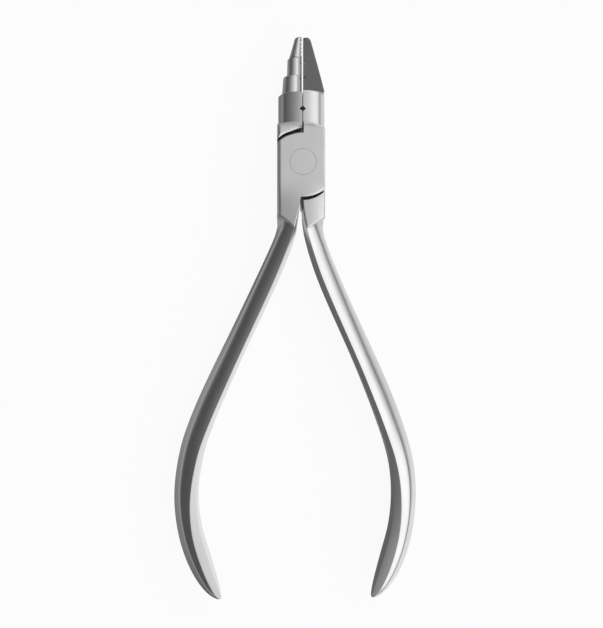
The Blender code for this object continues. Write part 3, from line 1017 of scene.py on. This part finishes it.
@dataclass
class StepForm:
    """The round beak: three steps, flush on the working side, the last one with serrations.

    Each of the steps is given by its foot, its head, and its width at both. inside is the working side's
    distance from the seam.
    """

    joint: JointSizes
    inside: float = 0.2 * MM
    rounding: float = 0.55 * MM
    flat: float = 0.1 * MM
    shoulder_rise: float = 0.01 * MM
    sides: int = 96
    root: float = 5.5 * MM
    steps: tuple[tuple[float, float, float, float], ...] = (
        (16.7 * MM, 21.3 * MM, 4.7 * MM, 4.4 * MM),
        (21.3 * MM, 25.7 * MM, 3.75 * MM, 3.4 * MM),
        (25.7 * MM, 30.9 * MM, 3.0 * MM, 1.75 * MM),
    )
    serration_first: float = 26.7 * MM
    serration_pitch: float = 0.95 * MM
    serration_count: int = 4
    serration_depth: float = 0.46 * MM

    def ring(self, width: float, y: float) -> list[Point3]:
        """A round section that touches the working side.

        Args:
            width: the section's width.
            y: where along the beak.

        Returns:
            The section's points.
        """
        radius = width / 2
        centre = -self.inside - radius
        angles = [math.tau * i / self.sides for i in range(self.sides)]
        return [(centre + radius * math.cos(a), y, self.joint.middle + radius * math.sin(a)) for a in angles]

    def build(self) -> bpy.types.Object:
        """Lofts the three steps, each with its shoulder rounded over.

        Returns:
            The beak, a solid of its own, without its serrations.
        """
        bends = 10
        sections = [self.ring(self.steps[0][2], self.root)]
        for index, (foot, head, foot_width, head_width) in enumerate(self.steps):
            last = index == len(self.steps) - 1
            rounding = head_width / 2 - self.flat if last else self.rounding
            sections.append(self.ring(foot_width, foot + self.shoulder_rise))
            for i in range(bends + 1):
                angle = math.pi / 2 * i / bends
                cut = 2 * (rounding - self.flat) * (1 - math.cos(angle))
                sections.append(self.ring(head_width - cut, head - rounding * (1 - math.sin(angle))))
        return loft("steps", sections, STEP_STEEL)


@dataclass
class WedgeForm:
    """The wedge beak: both faces run together towards its narrow working edge and towards the tip.

    inside is the working edge's distance from the seam, and bulge the outer side's rise over a straight line.
    sink, root and root_size are the depths and the size of the foot inside the base.
    """

    joint: JointSizes
    foot: float = 17.1 * MM
    tip: float = 30.6 * MM
    inside: float = 0.15 * MM
    foot_width: float = 4.95 * MM
    tip_width: float = 1.55 * MM
    bulge: float = 0.06 * MM
    foot_half_depth: float = 1.1 * MM
    tip_half_depth: float = 0.45 * MM
    face_tilt: float = math.radians(20)
    tip_rounding: float = 0.9 * MM
    tip_flat: float = 0.5
    edge_break: float = 0.14 * MM
    sink: float = 0.15 * MM
    root: float = 2.0 * MM
    root_size: float = 0.7

    def ring(self, y: float, size: float = 1.0) -> list[Point3]:
        """One four-sided section, with its edges broken.

        Args:
            y: where along the beak.
            size: its size against the beak's own there.

        Returns:
            The section's points.
        """
        t = max(0.0, (y - self.foot) / (self.tip - self.foot))
        width = self.foot_width + (self.tip_width - self.foot_width) * t + self.bulge * 4 * t * (1 - t)
        deep = size * (self.foot_half_depth + (self.tip_half_depth - self.foot_half_depth) * t)
        left = self.tip - y
        taper = 1.0
        if left < self.tip_rounding:
            bend = math.sqrt(max(0.0, 1 - (1 - left / self.tip_rounding) ** 2))
            taper = self.tip_flat + (1 - self.tip_flat) * bend
        width *= taper * size
        back = deep + width * math.tan(self.face_tilt)
        near, far = -self.inside, -self.inside - width
        outline = [(near, deep), (far, back), (far, -back), (near, -deep)]
        points = []
        for i, corner in enumerate(outline):
            after = outline[(i + 1) % len(outline)]
            points += rounded(outline[i - 1], corner, after, self.edge_break, steps=3)
        return [(x, y, self.joint.middle + z) for x, z in points]

    def build(self) -> bpy.types.Object:
        """Lofts the wedge, with its foot sunk into the base.

        Returns:
            The beak, a solid of its own.
        """
        along, bends = 24, 12
        straight = self.tip - self.tip_rounding - self.foot
        sections = [self.ring(self.foot - sink, self.root_size) for sink in (self.root, 3 * self.sink)]
        sections.append(self.ring(self.foot - self.sink))
        sections += [self.ring(self.foot + straight * i / along) for i in range(along + 1)]
        for i in range(1, bends + 1):
            angle = math.pi / 2 * i / bends
            sections.append(self.ring(self.tip - self.tip_rounding * (1 - math.sin(angle))))
        return loft("wedge", sections, WEDGE_STEEL)


@dataclass
class Half:
    """What the two halves of the pliers have in common.

    lower_lip is the share of the upper shoulder's lip that the lower shoulder has.
    """

    joint: JointSizes
    wire_hole_y: float = 12.57 * MM
    wire_hole_half: float = 0.65 * MM
    tool_length: float = 20.0 * MM
    lower_lip: float = 0.4

    def square_bar(self, x: float, y: float, half: float) -> bpy.types.Object:
        """A square bar through the pliers, standing on its edge.

        Args:
            x: the bar's middle.
            y: the bar's middle.
            half: half its diagonal.

        Returns:
            The bar.
        """
        length = self.tool_length
        bpy.ops.mesh.primitive_cylinder_add(vertices=4, radius=half, depth=length, location=(0, 0, 0))
        item = bpy.context.object
        choose(item)
        bpy.ops.object.mode_set(mode="EDIT")
        bpy.ops.mesh.select_all(action="SELECT")
        bpy.ops.transform.translate(value=(x, y, self.joint.middle))
        bpy.ops.object.mode_set(mode="OBJECT")
        # the walls the bar cuts take the darker steel, painted shade
        paint(item, CUT_STEEL_PAINTED_SHADE)
        return item

    def opposite_leaf(self) -> bpy.types.Object:
        """The space of the other half's leaf, with the shoulders' edges rounded.

        Returns:
            The space, as a solid to cut away.
        """
        joint = self.joint
        floor = joint.middle - joint.lap_gap / 2
        sections = []
        for height, inset in [(floor, 0.0)] + joint.lip_levels(both=False):
            upper = polar_arc(joint.shoulder_top, 0.0, 180.0, sides=180, more=inset)
            lower = polar_arc(joint.shoulder_bottom, -180.0, 0.0, sides=180, more=inset * self.lower_lip)
            sections.append([(x, y, height) for x, y in upper + lower])
        # the slots' walls take the darker steel, painted shade
        space = loft("leaf_space", sections, CUT_STEEL_PAINTED_SHADE)
        joint.paint_lips(space)
        return space

    def bore(self, pivot: "PivotForm") -> bpy.types.Object:
        """The pivot's hole through both leaves."""
        # the bore's wall takes the darker steel, painted shade
        return pivot.turned("bore", pivot.clearance, CUT_STEEL_PAINTED_SHADE)


@dataclass
class PivotForm:
    """The countersunk pivot, ground flush with both faces of the joint."""

    joint: JointSizes
    head_radius: float = 3.05 * MM
    head_height: float = 1.1 * MM
    journal_radius: float = 2.2 * MM
    cone_height: float = 0.9 * MM
    end_radius: float = 2.6 * MM
    end_height: float = 0.5 * MM
    end_land: float = 0.1 * MM
    clearance: float = 0.05 * MM
    sides: int = 192

    def turned(self, name: str, clearance: float, finish: SteelFinish) -> bpy.types.Object:
        """Turns the pivot's outline about its axis.

        Args:
            name: the solid's name.
            clearance: what a hole adds all round. A hole also runs past both faces.
            finish: the finish of its faces.

        Returns:
            The turned solid.
        """
        over = MM if clearance else 0.0
        head_foot = self.joint.thickness - self.head_height - clearance
        outline = [
            (self.end_radius + clearance, -over),
            (self.end_radius + clearance, self.end_land),
            (self.journal_radius + clearance, self.end_height + clearance),
            (self.journal_radius + clearance, head_foot - self.cone_height),
            (self.head_radius + clearance, head_foot),
            (self.head_radius + clearance, self.joint.thickness + over),
        ]
        angles = [math.tau * i / self.sides for i in range(self.sides)]
        sections = []
        for radius, height in outline:
            sections.append([(radius * math.cos(a), radius * math.sin(a), height) for a in angles])
        return loft(name, sections, finish)

    def build(self) -> bpy.types.Object:
        """Makes the pivot and shades it.

        Returns:
            The finished piece.
        """
        item = self.turned("pivot", 0.0, PIVOT_STEEL)
        finish_surface(item)
        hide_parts("pivot_screw")
        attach(item, "step_half")
        return item


@dataclass
class StepBeakHalf(Half):
    """Stepped beak, rear leaf and right handle.

    foot and edge run as (distance out, distance down) and (distance down, distance out) from the pivot.
    """

    seam: float = 0.2 * MM
    base_end: float = 16.7 * MM
    stop_reach: float = 0.4 * MM
    stop_root: float = 0.8 * MM
    stop_end: float = 10.4 * MM
    base_centre: float = -0.27 * MM
    top_fall: float = 0.73 * MM
    top_lip: float = 2.2
    foot: SmoothLine = SmoothLine((
        (0.0, 15.5 * MM), (1.5 * MM, 15.3 * MM), (3.2 * MM, 14.1 * MM), (5.3 * MM, 13.0 * MM),
    ))
    edge: SmoothLine = SmoothLine((
        (8.5 * MM, -0.1 * MM), (11.2 * MM, 0.08 * MM), (13.15 * MM, 0.4 * MM), (16.3 * MM, 1.05 * MM),
        (27.5 * MM, 4.72 * MM), (50.0 * MM, 14.44 * MM), (65.0 * MM, 20.2 * MM), (72.5 * MM, 22.27 * MM),
        (80.0 * MM, 22.96 * MM), (87.5 * MM, 22.37 * MM), (95.0 * MM, 20.41 * MM), (103.8 * MM, 17.5 * MM),
    ))
    slope: SmoothLine = SmoothLine((
        (8.5 * MM, math.radians(27)), (60.0 * MM, math.radians(26.5)), (74.0 * MM, math.radians(20.5)),
        (103.8 * MM, math.radians(19)),
    ))

    def stop(self) -> bpy.types.Object:
        """The tongue of the rear leaf that lies between the handles' roots.

        Returns:
            The tongue.
        """
        joint = self.joint
        top = self.stop_root - joint.leaf_bottom_radius
        outline = ((-self.stop_reach, -self.stop_end), (self.stop_root, -self.stop_end))
        outline += ((self.stop_root, top), (-self.stop_reach, top))
        heights = (joint.left_rounding, joint.middle - joint.lap_gap)
        # the tongue deep in its narrow slot takes the darker steel, painted shade
        return loft("stop", [[(x, y, z) for x, y in outline] for z in heights], CUT_STEEL_PAINTED_SHADE)

    def build(self, pivot: PivotForm) -> bpy.types.Object:
        """Makes the half.

        Args:
            pivot: the pivot whose hole it has.

        Returns:
            The finished piece.
        """
        joint = self.joint
        # the step half's crotch walls keep the darker cut steel, painted shade, while the wedge half's take
        # the handle's steel
        block = BlockForm(
            joint, left=joint.step_side, right=joint.wedge_side, face=self.seam, top_fall=self.top_fall,
            foot=self.foot, edge=self.edge, top_lip=self.top_lip, left_rounding=joint.left_rounding,
            right_rounding=joint.right_rounding, wall_finish=CUT_STEEL_PAINTED_SHADE,
        )
        item = block.build()
        act(item, BaseForm(joint, self.seam, self.base_centre, self.base_end).build(), Operation.JOIN)
        beak = StepForm(joint)
        act(item, beak.build(), Operation.JOIN)
        act(item, HandleForm(self.edge, joint, slope=self.slope).build(), Operation.JOIN)
        act(item, self.stop(), Operation.JOIN)
        act(item, self.opposite_leaf(), Operation.CUT)
        act(item, self.square_bar(-self.seam, self.wire_hole_y, self.wire_hole_half), Operation.CUT)
        for i in range(beak.serration_count):
            y = beak.serration_first + i * beak.serration_pitch
            act(item, self.square_bar(-beak.inside, y, beak.serration_depth), Operation.CUT)
        act(item, self.bore(pivot), Operation.CUT)
        item.name = "stepped_beak_forging"
        finish_surface(item)
        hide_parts("step_beak_half")
        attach(item, "step_half")
        return item


@dataclass
class WedgeBeakHalf(Half):
    """Wedge beak, front leaf and left handle, with foot and edge as for the other half.

    The half is turned over in the end, so its handle's front is modelled as the back.
    """

    groove_places: tuple[float, ...] = (21.0 * MM, 24.85 * MM)
    groove_half: float = 0.36 * MM
    groove_depth: float = 0.33 * MM
    root_relief: Nodes = (
        (8.5 * MM, 0.05 * MM), (12.2 * MM, 0.08 * MM), (13.2 * MM, 0.3 * MM), (14.2 * MM, 0.42 * MM),
        (15.2 * MM, 0.62 * MM), (17.0 * MM, 0.76 * MM), (20.0 * MM, 0.85 * MM),
    )
    face: float = 0.0
    base_centre: float = 0.27 * MM
    top_fall: float = 2.1 * MM
    top_lip: float = 0.5
    foot: SmoothLine = SmoothLine((
        (0.0, 16.3 * MM), (1.5 * MM, 16.0 * MM), (3.4 * MM, 14.2 * MM), (6.3 * MM, 12.1 * MM),
    ))
    edge: SmoothLine = SmoothLine((
        (8.5 * MM, 0.6 * MM), (11.2 * MM, 0.95 * MM), (13.15 * MM, 1.42 * MM), (16.3 * MM, 2.3 * MM),
        (27.5 * MM, 6.7 * MM), (50.0 * MM, 17.05 * MM), (65.0 * MM, 23.42 * MM), (72.5 * MM, 25.43 * MM),
        (80.0 * MM, 26.27 * MM), (87.5 * MM, 25.6 * MM), (95.0 * MM, 23.4 * MM), (103.8 * MM, 20.4 * MM),
    ))
    front_height: float = 4.2 * MM
    back_height: float = 1.2 * MM

    def turn_over(self, item: bpy.types.Object) -> None:
        """Turns the half about the Y direction through the middle of the joint.

        Args:
            item: the half, as it was modelled.
        """
        choose(item)
        bpy.ops.object.mode_set(mode="EDIT")
        bpy.ops.mesh.select_all(action="SELECT")
        bpy.ops.transform.rotate(value=math.pi, orient_axis="Y", center_override=(0, 0, self.joint.middle))
        bpy.ops.object.mode_set(mode="OBJECT")

    def build(self, pivot: PivotForm) -> bpy.types.Object:
        """Makes the half.

        Args:
            pivot: the pivot whose hole it has.

        Returns:
            The finished piece.
        """
        joint = self.joint
        block = BlockForm(
            joint, left=joint.wedge_side, right=joint.step_side, face=self.face, top_fall=self.top_fall,
            foot=self.foot, edge=self.edge, top_lip=self.top_lip, left_rounding=joint.right_rounding,
            right_rounding=joint.left_rounding, wall_finish=HANDLE_STEEL,
        )
        item = block.build()
        act(item, BaseForm(joint, self.face, self.base_centre).build(), Operation.JOIN)
        wedge = WedgeForm(joint)
        act(item, wedge.build(), Operation.JOIN)
        handle = HandleForm(
            self.edge, joint, front_height=self.back_height, back_height=self.front_height,
            root_relief=self.root_relief,
        )
        act(item, handle.build(), Operation.JOIN)
        act(item, self.opposite_leaf(), Operation.CUT)
        act(item, self.square_bar(-self.face, self.wire_hole_y, self.wire_hole_half), Operation.CUT)
        for y in self.groove_places:
            act(item, self.square_bar(-wedge.inside - self.groove_depth, y, self.groove_half), Operation.CUT)
        self.turn_over(item)
        act(item, self.bore(pivot), Operation.CUT)
        item.name = "wedge_beak_forging"
        finish_surface(item)
        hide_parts("wedge_beak_half")
        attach(item, "wedge_half")
        return item


@dataclass
class Studio:
    """The floor, the light and the camera.

    tent is the light's strength by its direction across the pliers, in degrees from straight up to the right.
    picture_scale is the picture's pixels per metre at the aim.
    """

    floor_radius: float = 4.0
    floor_shade: float = 0.97
    floor_glow: float = 0.93
    stand: Vector = field(default_factory=lambda: Vector((-0.0063, -0.0355, 0.1822)))
    aim: Vector = field(default_factory=lambda: Vector((-0.00024, -0.0355, 0.0052)))
    tent: Nodes = (
        (-180.0, 0.14), (-165.0, 0.15), (-150.0, 0.17), (-138.0, 0.24), (-128.0, 0.38), (-118.0, 0.5),
        (-105.0, 0.4), (-92.0, 0.2), (-80.0, 0.12), (-60.0, 0.1), (-48.0, 0.13), (-36.0, 0.21), (-24.0, 0.31),
        (-12.0, 0.42), (-4.0, 0.6), (2.0, 0.73), (8.0, 0.78), (16.0, 0.8), (28.0, 1.02), (38.0, 1.4),
        (48.0, 1.58), (56.0, 1.3), (64.0, 0.8), (72.0, 0.38), (80.0, 0.24), (88.0, 0.4), (98.0, 0.68),
        (112.0, 0.8), (125.0, 0.88), (140.0, 0.96), (155.0, 1.0), (180.0, 1.0),
    )
    tent_strength: float = 2.0
    picture_scale: float = 4167.0
    picture_height: int = 628
    sensor: float = 36.0
    nearest: float = 1 * MM

    def floor(self) -> bpy.types.Object:
        """A plain pale floor that the pliers lie on.

        Returns:
            The floor.
        """
        bpy.ops.mesh.primitive_circle_add(
            vertices=96, radius=self.floor_radius, fill_type="NGON", location=(0, 0, 0)
        )
        item = bpy.context.object
        item.name = "floor"
        material = bpy.data.materials.new("floor_paper")
        material.use_nodes = True
        tree = material.node_tree
        tree.nodes.clear()
        paper = tree.nodes.new("ShaderNodeBsdfDiffuse")
        paper.inputs["Color"].default_value = (self.floor_shade,) * 3 + (1.0,)
        glow = tree.nodes.new("ShaderNodeEmission")
        glow.inputs["Strength"].default_value = 1.0
        path = tree.nodes.new("ShaderNodeLightPath").outputs
        seen = combined(tree, Pairing.LARGER, path["Is Camera Ray"], path["Is Glossy Ray"])
        part = tree.nodes.new("ShaderNodeMath")
        part.operation = "MULTIPLY"
        part.inputs[1].default_value = self.floor_glow
        choice = tree.nodes.new("ShaderNodeMixShader")
        output = tree.nodes.new("ShaderNodeOutputMaterial")
        links = tree.links
        links.new(combined(tree, Pairing.LARGER, seen, path["Is Transmission Ray"]), part.inputs[0])
        links.new(part.outputs[0], choice.inputs["Fac"])
        links.new(paper.outputs[0], choice.inputs[1])
        links.new(glow.outputs[0], choice.inputs[2])
        links.new(choice.outputs[0], output.inputs["Surface"])
        item.data.materials.append(material)
        item.visible_glossy = False
        return item

    def sky(self) -> None:
        """Hangs a long light tent: bright on the right, dark on the left, and the same all along the pliers.

        The camera itself sees plain white paper there, as pale as the floor.
        """
        world = bpy.data.worlds.new("studio")
        bpy.context.scene.world = world
        world.use_nodes = True
        tree = world.node_tree
        background = tree.nodes["Background"]
        coordinates = tree.nodes.new("ShaderNodeTexCoord")
        parts = tree.nodes.new("ShaderNodeSeparateXYZ")
        ramp = tree.nodes.new("ShaderNodeValToRGB")
        ramp.color_ramp.interpolation = "LINEAR"
        elements = ramp.color_ramp.elements
        for degrees, _ in self.tent[1:-1]:
            elements.new((degrees + 180) / 360)
        for element, (degrees, value) in zip(elements, self.tent):
            element.position = (degrees + 180) / 360
            element.color = (value / self.tent_strength,) * 3 + (1.0,)
        background.inputs["Strength"].default_value = self.tent_strength
        links = tree.links
        links.new(coordinates.outputs["Generated"], parts.inputs[0])
        angle = combined(tree, Pairing.ANGLE, parts.outputs["X"], parts.outputs["Z"])
        links.new(scaled(tree, angle, -math.pi, math.pi, Ease.EVEN), ramp.inputs["Fac"])
        links.new(ramp.outputs["Color"], background.inputs["Color"])
        plain = tree.nodes.new("ShaderNodeBackground")
        plain.inputs["Color"].default_value = (self.floor_glow,) * 3 + (1.0,)
        plain.inputs["Strength"].default_value = 1.0
        path = tree.nodes.new("ShaderNodeLightPath")
        choice = tree.nodes.new("ShaderNodeMixShader")
        links.new(path.outputs["Is Camera Ray"], choice.inputs["Fac"])
        links.new(background.outputs[0], choice.inputs[1])
        links.new(plain.outputs[0], choice.inputs[2])
        links.new(choice.outputs[0], tree.nodes["World Output"].inputs["Surface"])

    def camera(self) -> bpy.types.Object:
        """Sets the camera over the pliers, upright along +Y.

        Returns:
            The camera.
        """
        forward = (self.aim - self.stand).normalized()
        right = forward.cross(Vector((0, 1, 0))).normalized()
        up = right.cross(forward)
        data = bpy.data.cameras.new("camera")
        data.sensor_width = self.sensor
        data.lens = self.picture_scale * (self.aim - self.stand).length / self.picture_height * self.sensor
        data.clip_start = self.nearest
        item = bpy.data.objects.new("camera", data)
        bpy.context.scene.collection.objects.link(item)
        turn = Matrix((right, up, -forward)).transposed().to_4x4()
        item.matrix_world = Matrix.Translation(self.stand) @ turn
        bpy.context.scene.camera = item
        return item

    def build(self) -> None:
        """Sets up the studio."""
        self.floor()
        self.sky()
        self.camera()
        bpy.context.scene.view_settings.view_transform = "Standard"


def main() -> None:
    """Builds the pieces in order."""
    logging.basicConfig(level=logging.INFO, format="%(name)s: %(message)s")
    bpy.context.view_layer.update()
    joint = JointSizes()
    pivot = PivotForm(joint)
    pieces = [StepBeakHalf(joint).build(pivot), WedgeBeakHalf(joint).build(pivot), pivot.build()]
    for piece in pieces:
        LOG.info("%s: %d faces", piece.name, len(piece.data.polygons))
    Studio().build()


if __name__ == "__main__":
    main()
